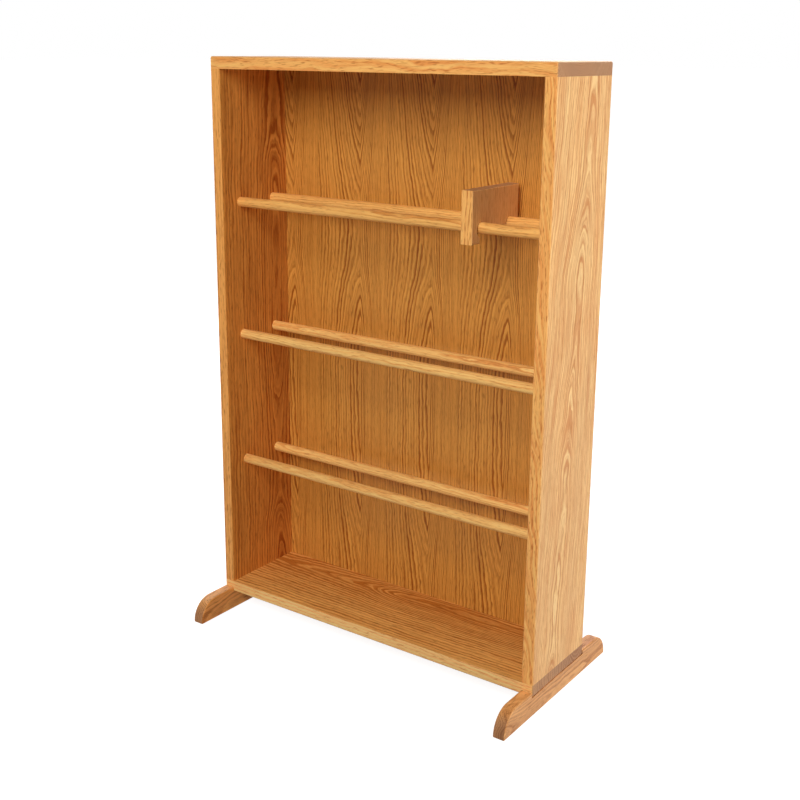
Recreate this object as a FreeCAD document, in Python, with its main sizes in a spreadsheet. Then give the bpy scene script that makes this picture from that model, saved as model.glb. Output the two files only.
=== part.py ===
import FreeCAD, Part
import os
import Sketcher

# Open oak media shelf: a case of four boards and a back, three rows of two rods,
# a divider that slides on the top rods, and two feet. Lengths are in millimetres.
# +Z is up, -Y is the front, and the origin lies on the floor under the middle.

# Driving dimensions
SIZES = {
    "cabinet_width": 610.0,
    "cabinet_height": 902.0,
    "cabinet_depth": 160.0,
    "board_thickness": 19.0,
    "outer_easing": 3.0,
    "bay_easing": 2.0,
    "rabbet_width": 9.5,
    "back_thickness": 5.0,
    "back_edge_gap": 0.5,
    "rod_diameter": 16.0,
    "rod_front_setback": 41.5,
    "rod_rear_setback": 39.5,
    "bottom_bay_height": 214.0,
    "top_bay_height": 210.0,
    "rod_chamfer": 0.8,
    "socket_cover": 9.5,
    "pin_diameter": 8.0,
    "pin_cover": 8.0,
    "pin_side_depth": 19.0,
    "pin_edge_setback": 25.0,
    "pin_chamfer": 0.8,
    "fit_gap": 0.05,
    "end_gap": 0.3,
    "foot_thickness": 19.0,
    "foot_height": 38.0,
    "foot_overhang": 79.0,
    "foot_nose_land": 2.0,
    "foot_easing": 2.0,
    "foot_sole_chamfer": 0.8,
    "foot_seat_depth": 7.0,
    "foot_seat_gap": 0.3,
    "screw_diameter": 4.2,
    "screw_grip": 21.0,
    "screw_tip_length": 6.0,
    "screw_tip_diameter": 0.8,
    "screw_head_diameter": 8.6,
    "screw_head_height": 3.0,
    "screw_head_round": 1.4,
    "screw_recess_depth": 1.5,
    "screw_recess_length": 4.6,
    "screw_recess_width": 1.1,
    "counterbore_gap": 1.2,
    "counterbore_depth": 8.0,
    "brad_diameter": 1.2,
    "brad_length": 16.0,
    "brad_head_diameter": 2.4,
    "brad_head_height": 0.6,
    "brad_end_setback": 60.0,
    "divider_thickness": 19.0,
    "divider_height": 76.0,
    "divider_drop": 22.3,
    "divider_nose": 24.0,
    "divider_back_gap": 10.5,
    "divider_lip_setback": 2.7,
    "divider_notch_play": 3.0,
    "divider_easing": 1.5,
    "divider_ride_gap": 0.3,
    "divider_side_gap": 114.5,
    "cut_overrun": 1.0,
}

# Counts
ROD_ROWS = ("bottom", "middle", "top")
PINS_PER_JOINT = 3
SCREWS_PER_FOOT = PINS_PER_JOINT - 1
BRADS_PER_SIDE = 5
BRADS_PER_BOARD = 4

# Two places closer than this, in millimetres, are taken as one.
TOUCH = 1e-4

# Places worked out from the driving dimensions
HALF_DEPTH = "(Sizes.cabinet_depth / 2)"
HALF_WIDTH = "(Sizes.cabinet_width / 2)"
INNER_HALF_WIDTH = "(Sizes.cabinet_width / 2 - Sizes.board_thickness)"
PANEL_MIDDLE = "(Sizes.cabinet_width / 2 - Sizes.board_thickness / 2)"
SIDE_HEIGHT = "(Sizes.cabinet_height - 2 * Sizes.board_thickness)"
UNDERSIDE = "(Sizes.foot_height - Sizes.foot_seat_depth)"
SIDE_LOW_END = f"({UNDERSIDE} + Sizes.board_thickness)"
SIDE_HIGH_END = f"({SIDE_LOW_END} + {SIDE_HEIGHT})"
RABBET_SHOULDER = f"({HALF_DEPTH} - Sizes.back_thickness)"
FRONT_ROD_PLACE = f"(Sizes.rod_front_setback - {HALF_DEPTH})"
REAR_ROD_PLACE = f"({HALF_DEPTH} - Sizes.rod_rear_setback)"
ROD_SPACING = f"({REAR_ROD_PLACE} - {FRONT_ROD_PLACE})"
LOWEST_ROD_HEIGHT = f"({SIDE_LOW_END} + Sizes.bottom_bay_height)"
HIGHEST_ROD_HEIGHT = f"({SIDE_HIGH_END} - Sizes.top_bay_height)"
SOCKET_DEPTH = "(Sizes.board_thickness - Sizes.socket_cover)"
PIN_BOARD_DEPTH = "(Sizes.board_thickness - Sizes.pin_cover)"
TOP_PIN_LOW_END = f"({SIDE_HIGH_END} - Sizes.pin_side_depth)"
BOTTOM_PIN_LOW_END = f"({SIDE_LOW_END} - {PIN_BOARD_DEPTH})"
PIN_REACH = f"({HALF_DEPTH} - Sizes.pin_edge_setback)"
PIN_SPACING = f"(2 * {PIN_REACH} / {PINS_PER_JOINT - 1})"
SCREW_LENGTH = f"({SIDE_LOW_END} - Sizes.counterbore_depth + Sizes.screw_grip)"
SOCKET_RADIUS = "(Sizes.rod_diameter / 2 + Sizes.fit_gap)"
PIN_HOLE_RADIUS = "(Sizes.pin_diameter / 2 + Sizes.fit_gap)"
SCREW_HOLE_RADIUS = "(Sizes.screw_diameter / 2 + Sizes.fit_gap)"
BRAD_HOLE_RADIUS = "(Sizes.brad_diameter / 2 + Sizes.fit_gap)"
BRAD_HEAD_HOLE_RADIUS = "(Sizes.brad_head_diameter / 2 + Sizes.fit_gap)"
RABBET_MIDDLE = "(Sizes.rabbet_width / 2)"
FOOT_HALF_LENGTH = f"({HALF_DEPTH} + Sizes.foot_overhang)"
NOTCH_DROP = "(Sizes.divider_notch_play - Sizes.divider_ride_gap)"

doc = FreeCAD.newDocument("media_shelf")


def make_sheet():
    """Writes every driving dimension into the sheet, one row each."""
    sheet = doc.addObject("Spreadsheet::Sheet", "Sizes")
    for row, (alias, length) in enumerate(SIZES.items(), start=1):
        sheet.set(f"A{row}", alias)
        sheet.set(f"B{row}", str(length))
        sheet.setAlias(f"B{row}", alias)
    doc.recompute()
    return sheet


def number(text):
    """The value of an expression at the sizes of the sheet."""
    return float(sheet.evalExpression(text))


def spread(index, count, low, high):
    """One of several places spread evenly from low to high."""
    return f"({low} + ({high} - {low}) * {index} / {count - 1})"


def row_height(row):
    """How high above the floor a row's two rods lie."""
    return spread(row, len(ROD_ROWS), LOWEST_ROD_HEIGHT, HIGHEST_ROD_HEIGHT)


# Building blocks of the bodies

def new_body(name, several_solids=False):
    body = doc.addObject("PartDesign::Body", name)
    body.Label = name
    body.AllowCompound = several_solids
    return body


def place(body, across="0", along="0", up="0"):
    """Ties the body's place to the sheet."""
    body.setExpression(".Placement.Base.x", across)
    body.setExpression(".Placement.Base.y", along)
    body.setExpression(".Placement.Base.z", up)


def new_sketch(body, name, role, offset=None):
    """A sketch on one of the body's own origin planes, or offset from it along its normal."""
    sketch = body.newObject("Sketcher::SketchObject", name)
    planes = [feature for feature in body.Origin.OriginFeatures if feature.Role == role]
    sketch.AttachmentSupport = (planes[0], [""])
    sketch.MapMode = "FlatFace"
    if offset:
        sketch.setExpression(".AttachmentOffset.Base.z", offset)
    return sketch


def tie(sketch, constraint, text):
    """Adds a constraint and ties its value to the sheet."""
    index = sketch.addConstraint(constraint)
    sketch.setExpression(f"Constraints[{index}]", text)


def tie_point(sketch, geometry, point, across, up):
    """Holds a point of the sketch at two expressions."""
    tie(sketch, Sketcher.Constraint("DistanceX", -1, 1, geometry, point, number(across)), across)
    tie(sketch, Sketcher.Constraint("DistanceY", -1, 1, geometry, point, number(up)), up)


def add_outline(sketch, corners):
    """Adds a closed outline of straight lines through the corners."""
    points = [FreeCAD.Vector(number(across), number(up), 0) for across, up in corners]
    first = sketch.GeometryCount
    for index, point in enumerate(points):
        following = points[(index + 1) % len(points)]
        sketch.addGeometry(Part.LineSegment(point, following))
    for index, (across, up) in enumerate(corners):
        line = first + index
        following_line = first + (index + 1) % len(corners)
        sketch.addConstraint(Sketcher.Constraint("Coincident", line, 2, following_line, 1))
        tie_point(sketch, line, 1, across, up)


def add_rectangle(sketch, left, right, low, high):
    add_outline(sketch, [(left, low), (right, low), (right, high), (left, high)])


def add_circle(sketch, across, up, radius):
    centre = FreeCAD.Vector(number(across), number(up), 0)
    upright = FreeCAD.Vector(0, 0, 1)
    circle = sketch.addGeometry(Part.Circle(centre, upright, number(radius)))
    tie_point(sketch, circle, 3, across, up)
    tie(sketch, Sketcher.Constraint("Radius", circle, number(radius)), radius)


def pad(body, sketch, name, length, both_ways=False):
    """Thickens a sketch along its normal, or half each way."""
    feature = body.newObject("PartDesign::Pad", name)
    feature.Profile = sketch
    feature.setExpression("Length", length)
    if both_ways:
        feature.SideType = "Symmetric"
    doc.recompute()
    return feature


def cut(body, sketch, name, depth, along_normal=False, both_ways=False):
    """Cuts a sketch into the body and makes sure that material went."""
    before = body.Shape.Volume
    feature = body.newObject("PartDesign::Pocket", name)
    feature.Profile = sketch
    feature.setExpression("Length", depth)
    feature.Reversed = along_normal
    if both_ways:
        feature.SideType = "Symmetric"
    doc.recompute()
    if not body.Shape.Volume < before:
        raise RuntimeError(f"{name} of {body.Label} cuts nothing")
    return feature


def edge_names(shape, wanted):
    """Names of the edges whose bounding box passes a test."""
    names = []
    for index, edge in enumerate(shape.Edges, start=1):
        if wanted(edge.BoundBox):
            names.append(f"Edge{index}")
    return names


def round_edges(body, name, radius, wanted):
    base = body.Tip
    feature = body.newObject("PartDesign::Fillet", name)
    feature.Base = (base, edge_names(base.Shape, wanted))
    feature.setExpression("Radius", radius)
    doc.recompute()
    return feature


def bevel_edges(body, name, size, wanted):
    base = body.Tip
    feature = body.newObject("PartDesign::Chamfer", name)
    feature.Base = (base, edge_names(base.Shape, wanted))
    feature.setExpression("Size", size)
    doc.recompute()
    return feature


def at(value, target):
    return abs(value - target) < TOUCH


# Places shared by a hole and what goes in it

def pin_places():
    """How far back each joint pin stands, from the middle of the depth."""
    foremost = f"(-{PIN_REACH})"
    return [spread(index, PINS_PER_JOINT, foremost, PIN_REACH) for index in range(PINS_PER_JOINT)]


def screw_places():
    """How far back each foot screw stands, midway between two joint pins."""
    return [f"({pin_place} + {PIN_SPACING} / 2)" for pin_place in pin_places()[:-1]]


def side_brad_places():
    """Heights of the brads in a side panel, above its lower end."""
    low = "Sizes.brad_end_setback"
    high = f"({SIDE_HEIGHT} - Sizes.brad_end_setback)"
    return [spread(index, BRADS_PER_SIDE, low, high) for index in range(BRADS_PER_SIDE)]


def board_brad_places():
    """Places of the brads along the top or bottom board, from its middle."""
    reach = f"({INNER_HALF_WIDTH} - Sizes.brad_end_setback)"
    return [spread(index, BRADS_PER_BOARD, f"(-{reach})", reach) for index in range(BRADS_PER_BOARD)]


def all_brad_places():
    """Places of all brads on the back: across, and above the side panels' lower end."""
    places = []
    for side in (-1, 1):
        for height in side_brad_places():
            places.append((f"{side} * ({INNER_HALF_WIDTH} + {RABBET_MIDDLE})", height))
    for height in (f"(-{RABBET_MIDDLE})", f"({SIDE_HEIGHT} + {RABBET_MIDDLE})"):
        for across in board_brad_places():
            places.append((across, height))
    return places


def cut_brad_holes(body, places):
    """Holes for the brads in the shoulder that the back panel bears on."""
    sketch = new_sketch(body, f"{body.Label}_brad_holes", "XZ_Plane", f"-{RABBET_SHOULDER}")
    for across, up in places:
        add_circle(sketch, across, up, BRAD_HOLE_RADIUS)
    depth = "Sizes.brad_length - Sizes.back_thickness + Sizes.end_gap"
    cut(body, sketch, f"{body.Label}_brad_cut", depth, along_normal=True)


# Top and bottom boards

def make_level_board(name, inner_face_height, turned_over, screws):
    """A full-width board whose inner face lies at local z = 0, with its body outside it."""
    body = new_body(name)
    outline = new_sketch(body, f"{name}_outline", "XY_Plane")
    add_rectangle(outline, f"-{HALF_WIDTH}", HALF_WIDTH, f"-{HALF_DEPTH}", HALF_DEPTH)
    pad(body, outline, f"{name}_board", "Sizes.board_thickness")
    thickness = number("Sizes.board_thickness")
    round_edges(body, f"{name}_easing", "Sizes.outer_easing",
                lambda box: at(box.ZMin, thickness) or box.ZLength > TOUCH)
    rabbet = new_sketch(body, f"{name}_rabbet", "XY_Plane")
    reach = f"({INNER_HALF_WIDTH} + Sizes.rabbet_width)"
    add_rectangle(rabbet, f"-{reach}", reach, RABBET_SHOULDER, f"({HALF_DEPTH} + Sizes.cut_overrun)")
    cut(body, rabbet, f"{name}_rabbet_cut", "Sizes.rabbet_width", along_normal=True)
    pins = new_sketch(body, f"{name}_pin_holes", "XY_Plane")
    for side in (-1, 1):
        for along in pin_places():
            add_circle(pins, f"{side} * {PANEL_MIDDLE}", along, PIN_HOLE_RADIUS)
    cut(body, pins, f"{name}_pin_cut", f"{PIN_BOARD_DEPTH} + Sizes.end_gap", along_normal=True)
    if screws:
        holes = new_sketch(body, f"{name}_screw_holes", "XY_Plane")
        for side in (-1, 1):
            for along in screw_places():
                add_circle(holes, f"{side} * {PANEL_MIDDLE}", along, SCREW_HOLE_RADIUS)
        through = "Sizes.board_thickness + Sizes.cut_overrun"
        cut(body, holes, f"{name}_screw_cut", through, along_normal=True)
    cut_brad_holes(body, [(across, RABBET_MIDDLE) for across in board_brad_places()])
    if turned_over:
        body.Placement.Rotation = FreeCAD.Rotation(FreeCAD.Vector(0, 1, 0), 180)
    place(body, up=inner_face_height)
    return body


# Side panels

def make_side_panel(name, side):
    """An upright panel whose inner face lies at local x = 0. side is -1 on the left, 1 on the right."""
    body = new_body(name)
    section = new_sketch(body, f"{name}_section", "XY_Plane")
    outer = f"({side} * Sizes.board_thickness)"
    step = f"({side} * Sizes.rabbet_width)"
    add_outline(section, [
        ("0", f"-{HALF_DEPTH}"),
        (outer, f"-{HALF_DEPTH}"),
        (outer, HALF_DEPTH),
        (step, HALF_DEPTH),
        (step, RABBET_SHOULDER),
        ("0", RABBET_SHOULDER),
    ])
    pad(body, section, f"{name}_board", SIDE_HEIGHT)
    front = -number(HALF_DEPTH)
    outside = number(outer)
    round_edges(body, f"{name}_outer_easing", "Sizes.outer_easing",
                lambda box: box.ZLength > TOUCH and at(box.XMin, outside) and at(box.XMax, outside))
    round_edges(body, f"{name}_bay_easing", "Sizes.bay_easing",
                lambda box: box.ZLength > TOUCH and at(box.YMin, front) and at(box.XLength, 0)
                and at(box.XMin, 0))
    sockets = new_sketch(body, f"{name}_rod_sockets", "YZ_Plane")
    for row in range(len(ROD_ROWS)):
        height = f"({row_height(row)} - {SIDE_LOW_END})"
        for along in (FRONT_ROD_PLACE, REAR_ROD_PLACE):
            add_circle(sockets, along, height, SOCKET_RADIUS)
    cut(body, sockets, f"{name}_rod_socket_cut", SOCKET_DEPTH, along_normal=side > 0)
    middle = f"({side} * Sizes.board_thickness / 2)"
    for end, offset in (("low", None), ("high", SIDE_HEIGHT)):
        pins = new_sketch(body, f"{name}_{end}_pin_holes", "XY_Plane", offset)
        for along in pin_places():
            add_circle(pins, middle, along, PIN_HOLE_RADIUS)
        depth = "Sizes.pin_side_depth + Sizes.end_gap"
        cut(body, pins, f"{name}_{end}_pin_cut", depth, along_normal=end == "low")
    pilots = new_sketch(body, f"{name}_screw_pilots", "XY_Plane")
    for along in screw_places():
        add_circle(pilots, middle, along, SCREW_HOLE_RADIUS)
    cut(body, pilots, f"{name}_screw_pilot_cut", "Sizes.screw_grip + Sizes.end_gap", along_normal=True)
    cut_brad_holes(body, [(f"{side} * {RABBET_MIDDLE}", height) for height in side_brad_places()])
    place(body, across=f"{side} * {INNER_HALF_WIDTH}", up=SIDE_LOW_END)
    return body


# Back panel and its brads

def make_back_panel():
    """A thin panel whose rear face lies at local y = 0."""
    body = new_body("back_panel")
    lap = "(Sizes.rabbet_width - Sizes.back_edge_gap)"
    outline = new_sketch(body, "back_panel_outline", "XZ_Plane")
    reach = f"({INNER_HALF_WIDTH} + {lap})"
    add_rectangle(outline, f"-{reach}", reach, f"-{lap}", f"({SIDE_HEIGHT} + {lap})")
    pad(body, outline, "back_panel_sheet", "Sizes.back_thickness")
    holes = (
        ("shank", BRAD_HOLE_RADIUS, "Sizes.back_thickness + Sizes.cut_overrun"),
        ("head", BRAD_HEAD_HOLE_RADIUS, "Sizes.brad_head_height"),
    )
    for part_of_brad, radius, depth in holes:
        sketch = new_sketch(body, f"back_panel_{part_of_brad}_holes", "XZ_Plane")
        for across, up in all_brad_places():
            add_circle(sketch, across, up, radius)
        cut(body, sketch, f"back_panel_{part_of_brad}_cut", depth, along_normal=True)
    place(body, along=HALF_DEPTH, up=SIDE_LOW_END)
    return body


def make_back_brads():
    """The brads that hold the back, heads flush with its rear face."""
    body = new_body("back_panel_brads", several_solids=True)
    stages = (
        ("shanks", "Sizes.brad_diameter / 2", "Sizes.brad_length"),
        ("heads", "Sizes.brad_head_diameter / 2", "Sizes.brad_head_height"),
    )
    for stage, radius, length in stages:
        sketch = new_sketch(body, f"brad_{stage}_outline", "XZ_Plane")
        for across, up in all_brad_places():
            add_circle(sketch, across, up, radius)
        pad(body, sketch, f"brad_{stage}", length)
    place(body, along=HALF_DEPTH, up=SIDE_LOW_END)
    return body


# Rods

def make_rod(name, along, up):
    """A round rod from socket to socket."""
    body = new_body(name)
    section = new_sketch(body, f"{name}_section", "YZ_Plane")
    add_circle(section, "0", "0", "Sizes.rod_diameter / 2")
    length = f"2 * ({INNER_HALF_WIDTH} + {SOCKET_DEPTH} - Sizes.end_gap)"
    pad(body, section, f"{name}_stock", length, both_ways=True)
    bevel_edges(body, f"{name}_ends", "Sizes.rod_chamfer", lambda box: box.XLength < TOUCH)
    place(body, along=along, up=up)
    return body


# Pins of the corner joints

def make_joint_pins(name, side, up):
    """The hidden pins of one corner joint, lower ends at local z = 0."""
    body = new_body(name, several_solids=True)
    section = new_sketch(body, f"{name}_section", "XY_Plane")
    for along in pin_places():
        add_circle(section, "0", along, "Sizes.pin_diameter / 2")
    pad(body, section, f"{name}_stock", f"{PIN_BOARD_DEPTH} + Sizes.pin_side_depth")
    bevel_edges(body, f"{name}_ends", "Sizes.pin_chamfer", lambda box: box.ZLength < TOUCH)
    place(body, across=f"{side} * {PANEL_MIDDLE}", up=up)
    return body


# Feet and their screws

def make_foot(name, side):
    """A runner with quarter-round ends and a seat for the bottom board, from local x = 0 rightwards."""
    body = new_body(name)
    outline = new_sketch(body, f"{name}_outline", "YZ_Plane")
    add_rectangle(outline, f"-{FOOT_HALF_LENGTH}", FOOT_HALF_LENGTH, "0", "Sizes.foot_height")
    pad(body, outline, f"{name}_runner", "Sizes.foot_thickness")
    top = number("Sizes.foot_height")
    end = number(FOOT_HALF_LENGTH)
    round_edges(body, f"{name}_noses", "Sizes.foot_height - Sizes.foot_nose_land",
                lambda box: at(box.ZMin, top) and at(abs(box.YMin), end) and box.XLength > TOUCH)
    round_edges(body, f"{name}_easing", "Sizes.foot_easing",
                lambda box: box.XLength < TOUCH and box.ZMax > TOUCH)
    bevel_edges(body, f"{name}_sole_edges", "Sizes.foot_sole_chamfer", lambda box: box.ZMax < TOUCH)
    seat = new_sketch(body, f"{name}_seat", "YZ_Plane")
    reach = f"({HALF_DEPTH} + Sizes.foot_seat_gap)"
    add_rectangle(seat, f"-{reach}", reach, UNDERSIDE, "(Sizes.foot_height + Sizes.cut_overrun)")
    both_faces = "2 * (Sizes.foot_thickness + Sizes.cut_overrun)"
    cut(body, seat, f"{name}_seat_cut", both_faces, both_ways=True)
    if side > 0:
        middle = "(Sizes.foot_thickness - Sizes.board_thickness / 2)"
    else:
        middle = "(Sizes.board_thickness / 2)"
    bores = (
        ("head", "Sizes.screw_head_diameter / 2 + Sizes.counterbore_gap", "Sizes.counterbore_depth"),
        ("shank", SCREW_HOLE_RADIUS, "Sizes.foot_height"),
    )
    for part_of_screw, radius, depth in bores:
        sketch = new_sketch(body, f"{name}_{part_of_screw}_bores", "XY_Plane")
        for along in screw_places():
            add_circle(sketch, middle, along, radius)
        cut(body, sketch, f"{name}_{part_of_screw}_bore_cut", depth, along_normal=True)
    if side > 0:
        place(body, across=f"{HALF_WIDTH} - Sizes.foot_thickness")
    else:
        place(body, across=f"-{HALF_WIDTH}")
    return body


def make_foot_screws(name, side):
    """Screws up through a foot and the bottom board into the side panel, head seats at local z = 0."""
    body = new_body(name, several_solids=True)
    profile = new_sketch(body, f"{name}_profile", "XZ_Plane")
    add_outline(profile, [
        ("0", "-Sizes.screw_head_height"),
        ("Sizes.screw_head_diameter / 2", "-Sizes.screw_head_height"),
        ("Sizes.screw_head_diameter / 2", "0"),
        ("Sizes.screw_diameter / 2", "0"),
        ("Sizes.screw_diameter / 2", f"{SCREW_LENGTH} - Sizes.screw_tip_length"),
        ("Sizes.screw_tip_diameter / 2", SCREW_LENGTH),
        ("0", SCREW_LENGTH),
    ])
    turned = body.newObject("PartDesign::Revolution", f"{name}_turned")
    turned.Profile = profile
    turned.ReferenceAxis = (profile, ["V_Axis"])
    turned.Angle = 360
    doc.recompute()
    low = -number("Sizes.screw_head_height")
    round_edges(body, f"{name}_dome", "Sizes.screw_head_round",
                lambda box: at(box.ZMax, low) and box.XLength > TOUCH)
    recess = new_sketch(body, f"{name}_recess", "XY_Plane", "-Sizes.screw_head_height")
    arm = "(Sizes.screw_recess_length / 2)"
    web = "(Sizes.screw_recess_width / 2)"
    add_outline(recess, [
        (arm, f"-{web}"), (arm, web), (web, web), (web, arm), (f"-{web}", arm), (f"-{web}", web),
        (f"-{arm}", web), (f"-{arm}", f"-{web}"), (f"-{web}", f"-{web}"), (f"-{web}", f"-{arm}"),
        (web, f"-{arm}"), (web, f"-{web}"),
    ])
    recess_cut = cut(body, recess, f"{name}_recess_cut", "Sizes.screw_recess_depth", along_normal=True)
    row = body.newObject("PartDesign::LinearPattern", f"{name}_row")
    row.Originals = [turned, body.getObject(f"{name}_dome"), recess_cut]
    lines = [feature for feature in body.Origin.OriginFeatures if feature.Role == "Y_Axis"]
    row.Direction = (lines[0], [""])
    row.setExpression("Length", f"{SCREWS_PER_FOOT - 1} * {PIN_SPACING}")
    row.Occurrences = SCREWS_PER_FOOT
    body.Tip = row
    doc.recompute()
    across = f"{side} * {PANEL_MIDDLE}"
    place(body, across=across, along=screw_places()[0], up="Sizes.counterbore_depth")
    return body


# Divider

def make_divider():
    """A block that hangs on the two top rods, with the front rod's axis at local y = z = 0."""
    body = new_body("divider")
    outline = new_sketch(body, "divider_outline", "YZ_Plane")
    drop = f"(-{NOTCH_DROP})"
    tail = f"({RABBET_SHOULDER} - Sizes.divider_back_gap - {FRONT_ROD_PLACE})"
    head = "(Sizes.divider_height - Sizes.divider_drop)"
    add_outline(outline, [
        ("-Sizes.divider_nose", "-Sizes.divider_drop"),
        ("-Sizes.divider_lip_setback", "-Sizes.divider_drop"),
        ("-Sizes.divider_lip_setback", drop),
        (tail, drop),
        (tail, head),
        ("-Sizes.divider_nose", head),
    ])
    pad(body, outline, "divider_block", "Sizes.divider_thickness", both_ways=True)
    half = number("Sizes.divider_thickness / 2")
    round_edges(body, "divider_easing", "Sizes.divider_easing",
                lambda box: at(abs(box.XMin), half) and box.XLength < TOUCH)
    notches = new_sketch(body, "divider_notches", "YZ_Plane")
    for along in ("0", ROD_SPACING):
        add_circle(notches, along, drop, "Sizes.rod_diameter / 2 + Sizes.divider_notch_play")
    both_faces = "Sizes.divider_thickness + 2 * Sizes.cut_overrun"
    cut(body, notches, "divider_notch_cut", both_faces, both_ways=True)
    across = f"{INNER_HALF_WIDTH} - Sizes.divider_side_gap - Sizes.divider_thickness / 2"
    place(body, across=across, along=FRONT_ROD_PLACE, up=HIGHEST_ROD_HEIGHT)
    return body


# Assembly

def make_parts():
    parts = [
        make_level_board("top_board", SIDE_HIGH_END, turned_over=False, screws=False),
        make_level_board("bottom_board", SIDE_LOW_END, turned_over=True, screws=True),
        make_side_panel("left_side", -1),
        make_side_panel("right_side", 1),
        make_back_panel(),
        make_back_brads(),
        make_divider(),
    ]
    for row, row_name in enumerate(ROD_ROWS):
        parts.append(make_rod(f"{row_name}_front_rod", FRONT_ROD_PLACE, row_height(row)))
        parts.append(make_rod(f"{row_name}_rear_rod", REAR_ROD_PLACE, row_height(row)))
    for side_name, side in (("left", -1), ("right", 1)):
        for end, low_end in (("top", TOP_PIN_LOW_END), ("bottom", BOTTOM_PIN_LOW_END)):
            parts.append(make_joint_pins(f"{end}_{side_name}_pins", side, low_end))
        parts.append(make_foot(f"{side_name}_foot", side))
        parts.append(make_foot_screws(f"{side_name}_foot_screws", side))
    doc.recompute()
    return parts


def check_document(parts):
    """Stops if any object failed or any part is empty or not valid."""
    for item in doc.Objects:
        if "Invalid" in item.State or "Error" in item.State:
            raise RuntimeError(f"{item.Label} is in state {item.State}")
    for body in parts:
        if body.Shape.isNull() or not body.Shape.isValid() or not body.Shape.Solids:
            raise RuntimeError(f"{body.Label} has no valid solid")


def write_parts(parts):
    os.makedirs("parts", exist_ok=True)
    for body in parts:
        body.Shape.exportStep(os.path.join("parts", f"{body.Label}.step"))
        print(f"{body.Label}: {len(body.Shape.Solids)} solids, {body.Shape.Volume:.0f} mm3")


sheet = make_sheet()
all_parts = make_parts()
check_document(all_parts)
write_parts(all_parts)
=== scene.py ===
"""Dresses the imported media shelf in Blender 4.5: oak, veneer and fixings, soft studio light, and the camera.

All lengths are in metres, in the row's frame: X to the right, Y to the back, Z up, origin on the floor.
"""

import math
from dataclasses import dataclass

import bpy
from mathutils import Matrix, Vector


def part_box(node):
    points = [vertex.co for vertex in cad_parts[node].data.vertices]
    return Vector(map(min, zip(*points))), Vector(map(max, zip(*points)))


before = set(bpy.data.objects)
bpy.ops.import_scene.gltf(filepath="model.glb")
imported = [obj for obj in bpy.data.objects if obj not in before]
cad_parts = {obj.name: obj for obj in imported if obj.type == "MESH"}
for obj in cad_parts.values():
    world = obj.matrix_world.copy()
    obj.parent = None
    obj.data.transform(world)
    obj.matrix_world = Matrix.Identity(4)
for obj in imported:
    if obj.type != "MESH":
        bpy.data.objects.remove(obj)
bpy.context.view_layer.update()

# The grain runs along one of the three axes
ALONG_X = 0
ALONG_Y = 1
ALONG_Z = 2
AXES = (ALONG_X, ALONG_Y, ALONG_Z)


def srgb(red, green, blue):
    """A colour given as it looks on screen, 0 to 255, as the linear colour that a shader takes."""
    linear = []
    for channel in (red, green, blue):
        value = channel / 255
        linear.append(value / 12.92 if value <= 0.04045 else ((value + 0.055) / 1.055) ** 2.4)
    return (*linear, 1.0)


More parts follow.
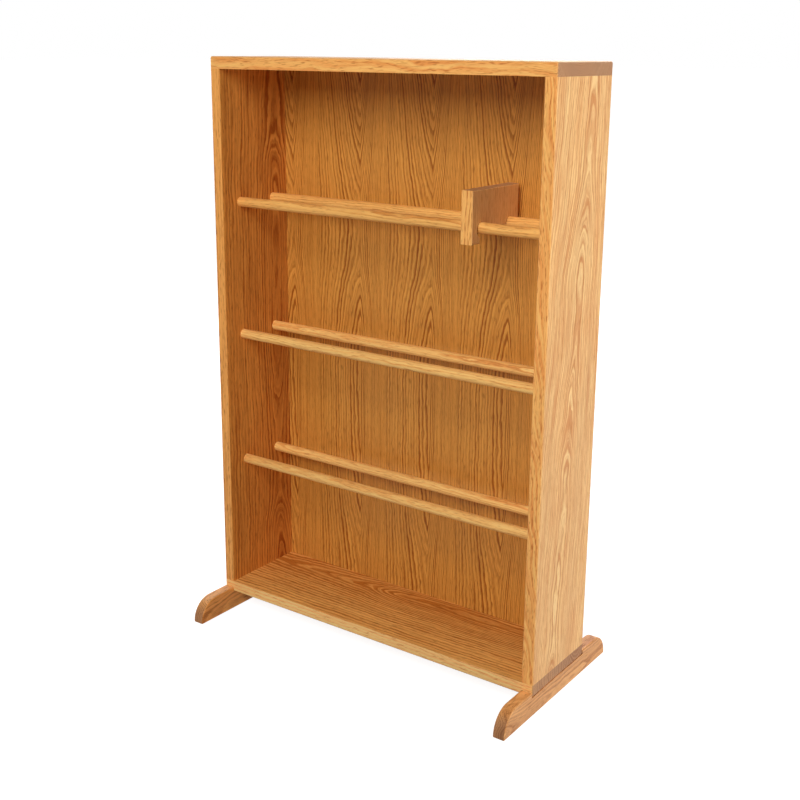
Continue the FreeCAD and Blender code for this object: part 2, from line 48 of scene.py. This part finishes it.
class Shader:
    """One material and short calls that add a node to it and give back the node's output."""

    def __init__(self, name):
        self.material = bpy.data.materials.new(name)
        self.material.use_nodes = True
        self.nodes = self.material.node_tree.nodes
        self.surface = self.nodes["Principled BSDF"].inputs

    def feed(self, socket, value):
        """Joins an output to a socket, or sets the socket to a plain value."""
        if isinstance(value, bpy.types.NodeSocket):
            self.material.node_tree.links.new(value, socket)
        else:
            socket.default_value = value

    def math(self, operation, *values):
        node = self.nodes.new("ShaderNodeMath")
        node.operation = operation
        for socket, value in zip(node.inputs, values):
            self.feed(socket, value)
        return node.outputs[0]

    def plus(self, first, second):
        return self.math("ADD", first, second)

    def minus(self, first, second):
        return self.math("SUBTRACT", first, second)

    def times(self, first, second):
        return self.math("MULTIPLY", first, second)

    def times_plus(self, first, second, added):
        """The first value times the second, and then the third added."""
        return self.math("MULTIPLY_ADD", first, second, added)

    def distance(self, first, second):
        """How far away a point is, from its offsets along two square axes."""
        return self.math("SQRT", self.plus(self.times(first, first), self.times(second, second)))

    def scaled(self, vector, factors, shift=(0, 0, 0)):
        """The vector times one factor for each axis, plus a shift."""
        node = self.nodes.new("ShaderNodeVectorMath")
        node.operation = "MULTIPLY_ADD"
        for socket, value in zip(node.inputs, (vector, factors, shift)):
            self.feed(socket, value)
        return node.outputs[0]

    def split(self, vector):
        node = self.nodes.new("ShaderNodeSeparateXYZ")
        self.feed(node.inputs[0], vector)
        return list(node.outputs)

    def join(self, *parts):
        node = self.nodes.new("ShaderNodeCombineXYZ")
        for socket, value in zip(node.inputs, parts):
            self.feed(socket, value)
        return node.outputs[0]

    def noise(self, vector, detail=2.0, roughness=0.5):
        node = self.nodes.new("ShaderNodeTexNoise")
        self.feed(node.inputs["Vector"], vector)
        node.inputs["Scale"].default_value = 1.0
        node.inputs["Detail"].default_value = detail
        node.inputs["Roughness"].default_value = roughness
        return node.outputs["Fac"]

    def draw(self, number):
        """A value of its own, from 0 to 1, for each whole number."""
        node = self.nodes.new("ShaderNodeTexWhiteNoise")
        node.noise_dimensions = "1D"
        self.feed(node.inputs["W"], number)
        return node.outputs["Value"]

    def span(self, value, low, high, to_low=0.0, to_high=1.0):
        """The value taken smoothly from one range to another, and held at both ends."""
        node = self.nodes.new("ShaderNodeMapRange")
        node.interpolation_type = "SMOOTHSTEP"
        for socket, number in zip(node.inputs, (value, low, high, to_low, to_high)):
            self.feed(socket, number)
        return node.outputs[0]

    def curve(self, value, points):
        """A smooth curve through the points, which go from 0 to 1 both ways."""
        node = self.nodes.new("ShaderNodeFloatCurve")
        line = node.mapping.curves[0]
        line.points[0].location = points[0]
        line.points[1].location = points[-1]
        for point in points[1:-1]:
            line.points.new(*point)
        node.mapping.update()
        self.feed(node.inputs["Value"], value)
        return node.outputs[0]

    def blend(self, factor, first, second, mode="MIX"):
        node = self.nodes.new("ShaderNodeMix")
        node.data_type = "RGBA"
        node.blend_type = mode
        # The factor and the two colours, by their places among the node's inputs and outputs
        for place, value in ((0, factor), (6, first), (7, second)):
            self.feed(node.inputs[place], value)
        return node.outputs[2]

    def bump(self, height, strength, distance):
        node = self.nodes.new("ShaderNodeBump")
        node.inputs["Strength"].default_value = strength
        node.inputs["Distance"].default_value = distance
        self.feed(node.inputs["Height"], height)
        self.feed(self.surface["Normal"], node.outputs[0])

    def coordinates(self, kind):
        return self.nodes.new("ShaderNodeTexCoord").outputs[kind]


# The light, middle and dark tones of each kind of oak face. The sets hold the wood's own tones and also
# painted light and shade: PALE, on broad faces, is paler and less deep than AMBER on the edges (painted
# light), and WARM, on the left side's broad faces, is darker than its HONEY edges (painted shade).
PALE = (srgb(254, 209, 140), srgb(220, 149, 82), srgb(190, 118, 58))
AMBER = (srgb(255, 194, 110), srgb(240, 158, 82), srgb(186, 102, 40))
# A lighter copy of AMBER, for the bottom board's edges low in the case: painted light
AMBER_PAINTED_LIGHTER = (srgb(255, 214, 138), srgb(255, 178, 104), srgb(204, 122, 60))
WARM = (srgb(240, 168, 80), srgb(178, 98, 32), srgb(124, 58, 14))
HONEY = (srgb(254, 178, 92), srgb(218, 136, 60), srgb(162, 88, 30))
GOLD = (srgb(255, 194, 108), srgb(226, 151, 74), srgb(172, 100, 42))
# A lighter copy of GOLD, for the lower rods: painted light
GOLD_PAINTED_LIGHTER = (srgb(255, 206, 124), srgb(238, 164, 86), srgb(184, 110, 50))
TAN = (srgb(238, 174, 106), srgb(200, 132, 72), srgb(150, 92, 46))
TOFFEE = (srgb(255, 198, 112), srgb(192, 116, 44), srgb(130, 66, 18))
VENEER = (srgb(224, 156, 70), srgb(160, 90, 24), srgb(120, 60, 10))
END_GRAIN = (srgb(197, 147, 101), srgb(164, 112, 74), srgb(124, 80, 50))
NOSE_GRAIN = (srgb(194, 138, 92), srgb(140, 90, 53), srgb(108, 68, 40))

# Noise that is drawn out along the grain: its width, its length and its detail
PORES = (0.0012, 0.014, 1.0)
FIBRES = (0.0007, 0.030, 0.0)
CLOUDS = (0.045, 0.350, 2.0)
WANDER = (0.060, 0.120, 1.5)
RIPPLES = (0.011, 0.030, 2.0)
# Streaks follow the rings: how many to a ring, their length, detail, roughness and the noise they start at
STREAKS_IN_RING = 3.0
STREAK_LENGTH = 0.110
STREAK_DETAIL = 2.0
STREAK_ROUGHNESS = 0.6
STREAK_RANGE = (0.36, 0.66)
# How far apart the noises of two seeds lie, also for streaks, and those of the two ways a log wanders
SEED_STEPS = (3.1, 1.7, 2.3)
STREAK_SEED_STEP = 1.3
WANDER_STEP = 11
# How squarely a face looks along an axis before it starts to count, and when it counts in full
FACE_RANGE = (0.45, 0.95)
# Narrow faces show more lines, one for each such width of the board's thickness
EDGE_RING = 0.0055
# Added to every count of rings, which keeps it above zero
RINGS_ADDED = 40.0
# The dark start of a ring, as shares of the ring: it deepens up to the first and fades over the others
EARLY_DEEPENS = 0.18
EARLY_FADES = (0.20, 0.76)
# The depth of the palest ring, and of all rings far from a cathedral
PALEST_RING = 0.25
PLAIN_DEPTH = 0.5
# Pores: the noise from which they show, what the dark start of a ring adds to that noise, how dark they
# are, and how much darker on narrow faces
PORE_RANGE = (0.56, 0.76)
PORES_IN_EARLY = 0.20
PORE_DEPTH = 0.52
EDGE_PORE_DEPTH = 0.25
# How bright the wood is at least, and what clouds and fibres add to that
LEAST_LEVEL = 0.78
CLOUD_LEVEL = 0.30
FIBRE_LEVEL = 0.14
# How rough the wood is at least, and what clouds, pores and end grain add to that
LEAST_ROUGHNESS = 0.36
CLOUD_ROUGHNESS = 0.12
PORE_ROUGHNESS = 0.16
END_ROUGHNESS = 0.12
# The relief: its middle level, what fibres and the dark start of a ring add, its strength and its depth
RELIEF_LEVEL = 0.5
FIBRE_RELIEF = 0.3
EARLY_RELIEF = -0.35
RELIEF_STRENGTH = 0.22
RELIEF_DEPTH = 0.0004
# The satin lacquer over it: a low gloss that leaves the wood its colour
LACQUER_GLOSS = 0.18
LACQUER_COAT = 0.08
LACQUER_COAT_ROUGHNESS = 0.32
# How much of a veneer leaf lies to the left and to the right of its heart, the middle of its figure
LEAF_LEFT_SHARE = 0.62
LEAF_RIGHT_SHARE = 0.38


@dataclass
class Leaf:
    """A veneer leaf that is laid again and again along X, and squeezed to the right of its heart."""
    width: float
    first_heart: float
    squeeze: float


@dataclass
class Cut:
    """How a piece is cut from its log, and how its grain is drawn.

    grain and edge are the axes that the grain runs along and that the narrow faces look along. pith is a
    point of the log's axis and lean that axis's slope over each cross axis. ring is the width of a growth
    ring, and at spread from the pith one ring more has fitted in. climb draws the cathedrals: it says how
    many rings the cut has passed at places along the grain, and half of that is felt at reach to the side.
    sway is how far the log's axis wanders and ripple by how many rings the lines waver. line, streaks and
    heart are how dark the rings, the streaks and the middle of a cathedral are; on the bottom board, whose
    pith lies towards the back, heart darkens the back and is painted shade. seed gives a piece noise of its
    own. Narrow faces take edge_tones and end grain takes end_tones. Only a veneer has a leaf.
    """
    grain: int
    edge: int
    pith: tuple
    ring: float
    climb: tuple
    seed: int
    tones: tuple
    edge_tones: tuple
    end_tones: tuple = END_GRAIN
    lean: tuple = (0.0, 0.0)
    spread: float = 0.035
    reach: float = 0.030
    sway: float = 0.005
    ripple: float = 0.45
    line: float = 1.25
    streaks: float = 0.35
    heart: float = 0.0
    leaf: Leaf = None


class Oak(Shader):
    """Lacquered oak. Its grain is one solid pattern, worked out from where each point lies in the log."""

    def __init__(self, name, cut):
        super().__init__(name)
        self.cut = cut
        self.across = [axis for axis in AXES if axis != cut.grain]
        self.shift = tuple(cut.seed * step for step in SEED_STEPS)
        self.find_place()
        self.find_faces()
        self.find_nearness()
        self.count_rings()
        self.find_early_wood()
        self.draw_fine_grain()
        self.paint()
        self.cut_relief()
        self.lacquer()

    def drawn_out(self, look, shift):
        """Noise that is drawn out along the grain."""
        width, length, detail = look
        return self.noise(self.scaled(self.straight, (1 / width, 1 / width, 1 / length), shift), detail)

    def fold_into_leaf(self, place, leaf):
        """The place within a veneer leaf, from its heart."""
        shifted = self.minus(place, leaf.first_heart)
        right, left = leaf.width * LEAF_RIGHT_SHARE, -leaf.width * LEAF_LEFT_SHARE
        wrapped = self.math("WRAP", shifted, right, left)
        return self.math("MAXIMUM", wrapped, self.times(wrapped, leaf.squeeze))

    def find_place(self):
        """Where a point lies along the log and to the sides of its axis, which wanders a little."""
        cut = self.cut
        place = self.split(self.coordinates("Object"))
        if cut.leaf:
            place[ALONG_X] = self.fold_into_leaf(place[ALONG_X], cut.leaf)
        self.place_on_piece = place[cut.grain]
        self.along = self.minus(place[cut.grain], cut.pith[cut.grain])
        self.sides = []
        for axis, slope in zip(self.across, cut.lean):
            offset = self.minus(place[axis], cut.pith[axis])
            self.sides.append(self.minus(offset, self.times(self.along, slope)))
        self.straight = self.join(*self.sides, self.along)
        for index, side in enumerate(self.sides):
            apart = (self.shift[0] + WANDER_STEP * index, *self.shift[1:])
            wander = self.minus(self.drawn_out(WANDER, apart), 0.5)
            self.sides[index] = self.plus(side, self.times(wander, 2 * cut.sway))
        self.radius = self.distance(*self.sides)

    def find_faces(self):
        """Two masks, which are 1 on the narrow faces and 1 on the end grain, and 0 elsewhere."""
        normal = self.split(self.coordinates("Normal"))
        self.narrow = self.span(self.math("ABSOLUTE", normal[self.cut.edge]), *FACE_RANGE)
        self.end = self.span(self.math("ABSOLUTE", normal[self.cut.grain]), *FACE_RANGE)

    def find_nearness(self):
        """1 in line with the pith, and less to each side of it. A rod is round, so its radius counts."""
        cut = self.cut
        sideways = self.sides[self.across.index(cut.edge)] if cut.edge in self.across else self.radius
        away = self.times(sideways, 1 / cut.reach)
        self.near = self.math("DIVIDE", 1.0, self.times_plus(away, away, 1.0))

    def rings_climbed(self):
        """How many rings the cut has passed here, by a curve that runs from 0 to 1 along the piece."""
        start = self.cut.climb[0][0]
        length = self.cut.climb[-1][0] - start
        most = max(rings for _, rings in self.cut.climb)
        points = [((place - start) / length, rings / most) for place, rings in self.cut.climb]
        fraction = self.math("DIVIDE", self.minus(self.place_on_piece, start), length)
        return self.times(self.curve(fraction, points), self.times(self.near, most))

    def count_rings(self):
        """How many rings lie between the pith and a point, as they look on the cut."""
        cut = self.cut
        bow = self.times(self.radius, 1 / cut.spread)
        rings = self.times_plus(bow, bow, self.times(self.radius, 1 / cut.ring))
        rings = self.minus(rings, self.rings_climbed())
        waves = self.drawn_out(RIPPLES, self.shift)
        rings = self.plus(rings, self.times_plus(waves, 2 * cut.ripple, RINGS_ADDED))
        if cut.edge in self.across:
            thickness = self.sides[1 - self.across.index(cut.edge)]
            rings = self.plus(rings, self.times(self.times(thickness, 1 / EDGE_RING), self.narrow))
        self.rings = rings

    def find_early_wood(self):
        """Each ring has a dark, porous start, with a depth of colour of its own."""
        part = self.math("FRACT", self.rings)
        depth = self.times_plus(self.draw(self.math("FLOOR", self.rings)), 1 - PALEST_RING, PALEST_RING)
        deepens = self.span(part, 0.0, EARLY_DEEPENS)
        fades = self.span(part, *EARLY_FADES, 1.0, 0.0)
        early = self.times(self.times(deepens, fades), depth)
        self.early = self.times(early, self.times_plus(self.near, 1 - PLAIN_DEPTH, PLAIN_DEPTH))

    def draw_fine_grain(self):
        """Fibres, clouds and pores that are drawn out along the grain, and streaks that follow the rings."""
        self.fibre = self.drawn_out(FIBRES, self.shift)
        self.cloud = self.drawn_out(CLOUDS, self.shift)
        pore_noise = self.drawn_out(PORES, self.shift)
        self.pores = self.span(self.times_plus(self.early, PORES_IN_EARLY, pore_noise), *PORE_RANGE)
        flow = self.join(self.times(self.rings, STREAKS_IN_RING), self.times(self.along, 1 / STREAK_LENGTH),
                         self.cut.seed * STREAK_SEED_STEP)
        streak = self.noise(flow, STREAK_DETAIL, STREAK_ROUGHNESS)
        self.streaks = self.span(streak, *STREAK_RANGE, 0.0, self.cut.streaks)

    def paint(self):
        """The wood's colour, from the tones of each kind of face."""
        cut = self.cut
        shades = []
        # Broad and narrow faces blend between tone sets that hold painted light and shade as well as the
        # wood's tones
        for face_tone, edge_tone, end_tone in zip(cut.tones, cut.edge_tones, cut.end_tones):
            shades.append(self.blend(self.end, self.blend(self.narrow, face_tone, edge_tone), end_tone))
        light, middle, dark = shades
        tone = self.times_plus(self.early, cut.line, self.streaks)
        # heart darkens the middle of a cathedral; on the bottom board that is painted shade towards the back
        colour = self.blend(self.times_plus(self.near, cut.heart, tone), light, middle)
        depth = self.times(self.pores, self.times_plus(self.narrow, EDGE_PORE_DEPTH, PORE_DEPTH))
        colour = self.blend(depth, colour, dark)
        level = self.times_plus(self.cloud, CLOUD_LEVEL, LEAST_LEVEL)
        level = self.times_plus(self.fibre, FIBRE_LEVEL, level)
        colour = self.blend(1.0, colour, self.join(level, level, level), "MULTIPLY")
        self.feed(self.surface["Base Color"], colour)

    def cut_relief(self):
        """Fine relief: fibres stand up a little, and pores and the dark start of a ring lie deeper."""
        height = self.minus(self.times_plus(self.fibre, FIBRE_RELIEF, RELIEF_LEVEL), self.pores)
        height = self.times_plus(self.early, EARLY_RELIEF, height)
        self.bump(height, RELIEF_STRENGTH, RELIEF_DEPTH)

    def lacquer(self):
        """A thin satin lacquer, which pores and end grain soak up."""
        rough = self.times_plus(self.cloud, CLOUD_ROUGHNESS, LEAST_ROUGHNESS)
        rough = self.times_plus(self.pores, PORE_ROUGHNESS, rough)
        self.feed(self.surface["Roughness"], self.times_plus(self.end, END_ROUGHNESS, rough))
        self.surface["Specular IOR Level"].default_value = LACQUER_GLOSS
        self.surface["Coat Weight"].default_value = LACQUER_COAT
        self.surface["Coat Roughness"].default_value = LACQUER_COAT_ROUGHNESS


def finish_node(node, material):
    """Gives a CAD node its material in every slot that it has."""
    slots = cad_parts[node].data.materials
    for index in range(len(slots)):
        slots[index] = material


# The boards, the feet and the divider
case_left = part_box("left_side")[0].x
case_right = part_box("right_side")[1].x
case_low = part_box("bottom_board")[0].z
case_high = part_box("top_board")[1].z
foot_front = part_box("right_foot")[0].y
foot_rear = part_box("right_foot")[1].y
BOARDS = {
    "right_side": Cut(
        grain=ALONG_Z, edge=ALONG_Y, pith=(0.320, 0.003, 0.5), lean=(0.0, 0.06), ring=0.0062, seed=1,
        climb=((case_low, 13.6), (0.10, 12.4), (0.21, 12.2), (0.30, 11.6), (0.36, 11.0), (0.41, 9.6),
               (0.47, 8.0), (0.53, 6.6), (0.585, 6.2), (0.64, 6.4), (0.68, 5.2), (0.74, 3.0), (0.80, 1.4),
               (0.86, 0.6), (case_high, 0.0)),
        reach=0.065, spread=0.16, sway=0.010, ripple=0.4,
        tones=PALE, edge_tones=AMBER, line=0.85, streaks=0.9),
    "left_side": Cut(
        grain=ALONG_Z, edge=ALONG_Y, pith=(-0.266, 0.046, 0.5), ring=0.0085, seed=2,
        climb=((case_low, 7.0), (0.13, 4.5), (0.20, 2.0), (0.30, 2.4), (0.50, 4.4), (0.68, 4.2),
               (0.75, 3.2), (0.80, 1.2), (0.84, 0.4), (case_high, 0.0)),
        reach=0.032, spread=0.12,
        tones=WARM, edge_tones=HONEY, line=1.1, streaks=0.45, heart=0.25),
    "top_board": Cut(
        grain=ALONG_X, edge=ALONG_Y, pith=(0.0, -0.02, 0.985), lean=(0.01, 0.02), ring=0.0048, seed=3,
        climb=((case_left, 0.0), (-0.10, 3.2), (0.10, 6.0), (case_right, 9.0)),
        reach=0.05, ripple=0.35,
        tones=PALE, edge_tones=AMBER, line=1.7, streaks=0.6),
    # The bottom board's pith lies towards the back, so heart darkens it towards the back of the case: painted
    # shade
    "bottom_board": Cut(
        grain=ALONG_X, edge=ALONG_Y, pith=(0.0, 0.050, 0.062), lean=(0.03, 0.01), ring=0.0085, seed=4,
        climb=((case_left, 0.0), (-0.09, 3.0), (0.0, 6.5), (case_right, 7.5)),
        reach=0.045, spread=0.12,
        tones=TOFFEE, edge_tones=AMBER_PAINTED_LIGHTER, line=1.6, streaks=0.4, heart=0.45),
    "left_foot": Cut(
        grain=ALONG_Y, edge=ALONG_Z, pith=(-0.25, 0.0, 0.012), lean=(0.0, 0.02), ring=0.0042, seed=5,
        climb=((foot_front, 0.0), (-0.05, 1.5), (0.05, 2.5), (foot_rear, 4.0)),
        reach=0.06,
        tones=HONEY, edge_tones=TAN, end_tones=NOSE_GRAIN, line=1.0),
    "right_foot": Cut(
        grain=ALONG_Y, edge=ALONG_Z, pith=(0.325, 0.0, 0.010), lean=(0.0, 0.02), ring=0.0042, seed=6,
        climb=((foot_front, 4.0), (-0.08, 1.5), (0.03, 0.5), (foot_rear, 0.0)),
        reach=0.05, ripple=0.3,
        tones=TAN, edge_tones=TAN, end_tones=NOSE_GRAIN, line=0.9, streaks=0.7),
    "divider": Cut(
        grain=ALONG_Z, edge=ALONG_Y, pith=(0.162, -0.17, 0.7), lean=(0.02, 0.0), ring=0.0042, seed=7,
        climb=((0.60, 0.0), (0.70, 0.8), (0.80, 2.0)),
        reach=0.2,
        tones=PALE, edge_tones=AMBER, line=0.45),
}
for node, cut in BOARDS.items():
    finish_node(node, Oak(node + "_oak", cut).material)

# The rods: how far each one's pith runs behind and above its middle, its seed and its tones. The lower four
# take a lighter copy of GOLD, which is painted light. A rod has no narrow faces, so its edge is its grain's
# own axis.
RODS = {
    "bottom_front_rod": (0.020, -0.016, 8, GOLD_PAINTED_LIGHTER),
    "bottom_rear_rod": (-0.014, 0.022, 9, GOLD_PAINTED_LIGHTER),
    "middle_front_rod": (0.018, 0.020, 10, GOLD_PAINTED_LIGHTER),
    "middle_rear_rod": (-0.024, 0.012, 11, GOLD_PAINTED_LIGHTER),
    "top_front_rod": (0.012, -0.022, 12, GOLD),
    "top_rear_rod": (-0.018, -0.018, 13, GOLD),
}
for node, (pith_behind, pith_above, seed, tones) in RODS.items():
    low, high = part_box(node)
    middle = (low + high) / 2
    cut = Cut(
        grain=ALONG_X, edge=ALONG_X, pith=(0.0, middle.y + pith_behind, middle.z + pith_above),
        lean=(0.015, -0.01), ring=0.0045, seed=seed,
        climb=((low.x, 0.0), (low.x / 3, 1.5), (high.x / 3, 1.0), (high.x, 2.5)),
        tones=tones, edge_tones=tones)
    finish_node(node, Oak(node + "_oak", cut).material)

# The back, whose log's axis lies just in front of its veneer
VENEER_PITH_IN_FRONT = 0.0012
VENEER_LEAF = Leaf(width=0.1413, first_heart=-0.2695, squeeze=2.1)
back_low, back_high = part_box("back_panel")
back_cut = Cut(
    grain=ALONG_Z, edge=ALONG_X, pith=(0.0, back_low.y - VENEER_PITH_IN_FRONT, 0.5), ring=0.0100, seed=14,
    climb=((back_low.z, 0.5), (0.10, 1.2), (0.20, 4.0), (0.26, 5.2), (0.35, 5.7), (0.45, 5.7), (0.50, 4.9),
           (0.56, 2.8), (0.63, 0.3), (0.67, 0.0), (0.70, 0.7), (0.78, 3.8), (0.86, 6.9), (back_high.z, 9.4)),
    reach=0.060, spread=0.058, sway=0.003, leaf=VENEER_LEAF,
    tones=VENEER, edge_tones=VENEER, line=1.1)
finish_node("back_panel", Oak("back_panel_veneer", back_cut).material)

# The dowel pins: flecks and clouds as noise per metre across and along the pin, and how they show
BEECH = srgb(226, 190, 146)
BEECH_FLECK = srgb(176, 128, 84)
BEECH_CLOUD = srgb(206, 160, 114)
FLECKS_PER_METRE = (900, 900, 140)
FLECK_RANGE = (0.52, 0.72)
FLECK_DEPTH = 0.6
BEECH_CLOUDS_PER_METRE = (60, 60, 12)
BEECH_CLOUD_RANGE = (0.35, 0.7)
BEECH_CLOUD_DEPTH = 0.35
BEECH_ROUGHNESS = 0.48
FLECK_ROUGHNESS = 0.2
FLECK_RELIEF_STRENGTH = 0.2
FLECK_RELIEF_DEPTH = 0.0002


def beech(name):
    """Plain pale beech with short flecks, for the dowel pins."""
    wood = Shader(name)
    place = wood.coordinates("Object")
    fleck = wood.noise(wood.scaled(place, FLECKS_PER_METRE))
    cloud = wood.noise(wood.scaled(place, BEECH_CLOUDS_PER_METRE))
    colour = wood.blend(wood.span(fleck, *FLECK_RANGE, 0.0, FLECK_DEPTH), BEECH, BEECH_FLECK)
    clouded = wood.span(cloud, *BEECH_CLOUD_RANGE, 0.0, BEECH_CLOUD_DEPTH)
    wood.feed(wood.surface["Base Color"], wood.blend(clouded, colour, BEECH_CLOUD))
    wood.feed(wood.surface["Roughness"], wood.times_plus(fleck, FLECK_ROUGHNESS, BEECH_ROUGHNESS))
    wood.bump(fleck, FLECK_RELIEF_STRENGTH, FLECK_RELIEF_DEPTH)
    return wood.material


pin_finish = beech("pin_beech")
for node in ("top_left_pins", "top_right_pins", "bottom_left_pins", "bottom_right_pins"):
    finish_node(node, pin_finish)

# The screws and brads: turning marks and stained patches as noise per metre, and how they show
ZINC = srgb(206, 198, 172)
ZINC_STAIN = srgb(150, 138, 108)
ZINC_ROUGHNESS = 0.24
BRIGHT_STEEL = srgb(176, 178, 182)
STEEL_STAIN = srgb(112, 108, 104)
STEEL_ROUGHNESS = 0.30
TURNINGS_PER_METRE = (220, 220, 5200)
TURNING_ROUGHNESS = 0.12
TURNING_RELIEF_STRENGTH = 0.15
TURNING_RELIEF_DEPTH = 0.00015
PATCHES_PER_METRE = (420, 420, 420)
PATCH_DETAIL = 3.0
PATCH_RANGE = (0.45, 0.75)
PATCH_ROUGHNESS = 0.25


def steel(name, clean, stained, roughness):
    """Plated steel with fine marks, which run round the upright screws, and with dull, stained patches."""
    metal = Shader(name)
    place = metal.coordinates("Object")
    turning = metal.noise(metal.scaled(place, TURNINGS_PER_METRE))
    patch = metal.noise(metal.scaled(place, PATCHES_PER_METRE), PATCH_DETAIL)
    metal.feed(metal.surface["Base Color"], metal.blend(metal.span(patch, *PATCH_RANGE), clean, stained))
    rough = metal.times_plus(patch, PATCH_ROUGHNESS, roughness)
    metal.feed(metal.surface["Roughness"], metal.times_plus(turning, TURNING_ROUGHNESS, rough))
    metal.bump(turning, TURNING_RELIEF_STRENGTH, TURNING_RELIEF_DEPTH)
    metal.surface["Metallic"].default_value = 1.0
    return metal.material


screw_finish = steel("screw_zinc", ZINC, ZINC_STAIN, ZINC_ROUGHNESS)
for node in ("left_foot_screws", "right_foot_screws"):
    finish_node(node, screw_finish)
finish_node("back_panel_brads", steel("brad_steel", BRIGHT_STEEL, STEEL_STAIN, STEEL_ROUGHNESS))

# The floor: a sheet of paper, which lies just under the feet and reaches far past the camera's view
PAPER = srgb(168, 168, 167)
PAPER_FIBRE = srgb(184, 184, 183)
PAPER_FIBRES_PER_METRE = (90, 90, 90)
PAPER_FIBRE_DETAIL = 3.0
PAPER_FIBRE_RANGE = (0.3, 0.7)
PAPER_FIBRE_DEPTH = 0.25
PAPER_ROUGHNESS = 0.9
PAPER_GLOSS = 0.1
FLOOR_REACH = 60.0
FLOOR_LEVEL = -0.0003
# The floor's own whiteness to the camera, near the shelf, and the distances over which it gets to white
FLOOR_GLOW = 0.87
GLOW_RANGE = (0.7, 2.6)
# The strength of the world's light on the object, and the white that floor and background show
SKY_LIGHT = 0.025
WHITE = (1, 1, 1, 1)
# Each lamp: its turn round from the front and its rise above the middle in degrees, its size and watts
LAMPS = {
    "front_lamp": dict(turn=14, rise=33, distance=3.1, width=1.5, height=1.6, power=70),
    "right_lamp": dict(turn=106, rise=14, distance=2.6, width=1.2, height=1.6, power=41),
    "left_lamp": dict(turn=254, rise=14, distance=2.6, width=1.2, height=1.6, power=34),
    "rear_lamp": dict(turn=190, rise=26, distance=3.2, width=2.8, height=2.0, power=46),
}
LAMP_AIM = (0.0, 0.0, 0.45)


def shown_white(nodes, links):
    """1 for rays from the camera and off gloss, metal or glass, which see the white, and 0 for the rest."""
    ray = nodes.new("ShaderNodeLightPath").outputs
    shown = ray["Is Camera Ray"]
    for kind in ("Is Glossy Ray", "Is Transmission Ray"):
        either = nodes.new("ShaderNodeMath")
        either.operation = "MAXIMUM"
        links.new(shown, either.inputs[0])
        links.new(ray[kind], either.inputs[1])
        shown = either.outputs[0]
    return shown


def paper():
    """Pale paper that shows white to the camera and keeps a faint shadow."""
    sheet = Shader("floor_paper")
    place = sheet.coordinates("Object")
    fibre = sheet.noise(sheet.scaled(place, PAPER_FIBRES_PER_METRE), PAPER_FIBRE_DETAIL)
    fibre = sheet.span(fibre, *PAPER_FIBRE_RANGE, 0.0, PAPER_FIBRE_DEPTH)
    sheet.feed(sheet.surface["Base Color"], sheet.blend(fibre, PAPER, PAPER_FIBRE))
    sheet.surface["Roughness"].default_value = PAPER_ROUGHNESS
    sheet.surface["Specular IOR Level"].default_value = PAPER_GLOSS
    sheet.surface["Emission Color"].default_value = WHITE
    x, y, _ = sheet.split(place)
    glow = sheet.span(sheet.distance(x, y), *GLOW_RANGE, FLOOR_GLOW, 1.0)
    shown = shown_white(sheet.nodes, sheet.material.node_tree.links)
    sheet.feed(sheet.surface["Emission Strength"], sheet.times(shown, glow))
    # The sheet is clear when the camera looks at it from below, so that the underside shows
    below = sheet.nodes.new("ShaderNodeNewGeometry").outputs["Backfacing"]
    camera_ray = sheet.nodes.new("ShaderNodeLightPath").outputs["Is Camera Ray"]
    sheet.feed(sheet.surface["Alpha"], sheet.minus(1.0, sheet.times(below, camera_ray)))
    return sheet.material


def paper_floor():
    """A wide sheet of paper that keeps the shelf's shadow and meets the white background."""
    mesh = bpy.data.meshes.new("floor")
    signs = ((-1, -1), (1, -1), (1, 1), (-1, 1))
    corners = [(x * FLOOR_REACH, y * FLOOR_REACH, FLOOR_LEVEL) for x, y in signs]
    mesh.from_pydata(corners, [], [(0, 1, 2, 3)])
    floor = bpy.data.objects.new("floor", mesh)
    bpy.context.scene.collection.objects.link(floor)
    mesh.materials.append(paper())


def studio_world():
    """A faint even light all round, which the camera and gloss see as plain white."""
    world = bpy.data.worlds.new("studio")
    world.use_nodes = True
    nodes = world.node_tree.nodes
    links = world.node_tree.links
    levels = nodes.new("ShaderNodeMapRange")
    links.new(shown_white(nodes, links), levels.inputs["Value"])
    levels.inputs["To Min"].default_value = SKY_LIGHT
    levels.inputs["To Max"].default_value = 1.0
    links.new(levels.outputs[0], nodes["Background"].inputs["Strength"])
    nodes["Background"].inputs["Color"].default_value = WHITE
    bpy.context.scene.world = world


def soft_lamp(name, turn, rise, distance, width, height, power):
    """A broad soft lamp that faces the middle of the shelf."""
    lamp = bpy.data.lights.new(name, "AREA")
    lamp.shape = "RECTANGLE"
    lamp.size = width
    lamp.size_y = height
    lamp.energy = power
    turn, rise = math.radians(turn), math.radians(rise)
    outward = Vector((math.sin(turn) * math.cos(rise), -math.cos(turn) * math.cos(rise), math.sin(rise)))
    holder = bpy.data.objects.new(name, lamp)
    holder.location = Vector(LAMP_AIM) + outward * distance
    holder.rotation_euler = outward.to_track_quat("Z", "Y").to_euler()
    bpy.context.scene.collection.objects.link(holder)


paper_floor()
studio_world()
for name, facts in LAMPS.items():
    soft_lamp(name, **facts)

# The camera, as solved from the photograph's perspective. Its turn is in degrees, its lens in millimetres.
CAMERA_PLACE = (1.0357, -1.4548, 0.9483)
CAMERA_TURN = (75.3755, -0.5145, 35.4127)
CAMERA_LENS = 53.189
CAMERA_SENSOR = 36.0
CAMERA_SHIFT = (0.0, -0.055)
CAMERA_NEAREST = 0.01

camera_data = bpy.data.cameras.new("camera")
camera_data.sensor_width = CAMERA_SENSOR
camera_data.lens = CAMERA_LENS
camera_data.shift_x, camera_data.shift_y = CAMERA_SHIFT
camera_data.clip_start = CAMERA_NEAREST
camera = bpy.data.objects.new("camera", camera_data)
camera.location = CAMERA_PLACE
camera.rotation_euler = [math.radians(angle) for angle in CAMERA_TURN]
bpy.context.scene.collection.objects.link(camera)
bpy.context.scene.camera = camera
bpy.context.scene.view_settings.view_transform = "Standard"
